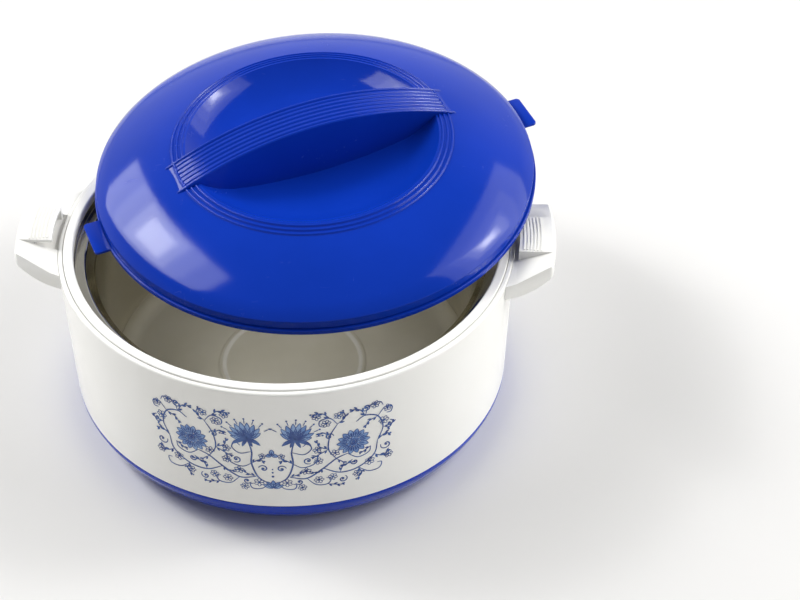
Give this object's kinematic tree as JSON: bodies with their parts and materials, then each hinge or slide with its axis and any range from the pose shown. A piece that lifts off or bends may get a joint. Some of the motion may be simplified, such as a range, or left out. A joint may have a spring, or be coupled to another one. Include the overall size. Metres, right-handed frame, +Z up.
{
  "type": "insulated chapati casserole",
  "caption": "Round double-walled serving casserole with a steel bowl, two side handles and a domed lid that lifts off and locks by turning, shown with the lid laid ajar on the rim",
  "frame": {"origin": "on the table, in the middle of the pot's round base, on the pot's own axis", "axes": "+Z is up along the pot's axis, +X runs through the right-hand handle as seen in the picture, -Y faces the printed front of the pot"},
  "size_m": [0.299, 0.2994, 0.1597],
  "materials": {
    "outer_shell": "white gloss polypropylene",
    "rim_collar": "white gloss polypropylene",
    "base_cup": "deep blue gloss polypropylene",
    "inner_bowl": "stainless steel, polished",
    "body_insulation": "rigid polyurethane foam, unseen",
    "base_plug": "deep blue polypropylene",
    "left_handle": "white gloss polypropylene",
    "right_handle": "white gloss polypropylene",
    "lid_cover": "deep blue gloss polypropylene",
    "lid_liner": "white gloss polypropylene",
    "lid_flange": "deep blue gloss polypropylene",
    "lid_insulation": "rigid polyurethane foam, unseen",
    "lid_seal": "translucent white silicone",
    "lid_plug": "white polypropylene"
  },
  "bodies": {
    "pot": {"outer_shell": "outer_shell", "rim_collar": "rim_collar", "base_cup": "base_cup", "inner_bowl": "inner_bowl", "body_insulation": "body_insulation", "base_plug": "base_plug", "left_handle": "left_handle", "right_handle": "right_handle"},
    "seal": {"lid_seal": "lid_seal"},
    "lid": {"lid_cover": "lid_cover", "lid_flange": "lid_flange", "lid_liner": "lid_liner", "lid_insulation": "lid_insulation", "lid_plug": "lid_plug"}
  },
  "joints": [
    {"name": "lid_lift", "type": "slide", "parent": "pot", "child": "seal", "axis": [0, 0, 1], "range_m": [0, 0.2]},
    {"name": "lid_twist", "type": "hinge", "parent": "seal", "child": "lid", "pos_m": [0.01292, 0.04677, 0.11244], "axis": [-0.0391, -0.0718, 0.9967], "range_deg": [-24.1, 0]}
  ]
}
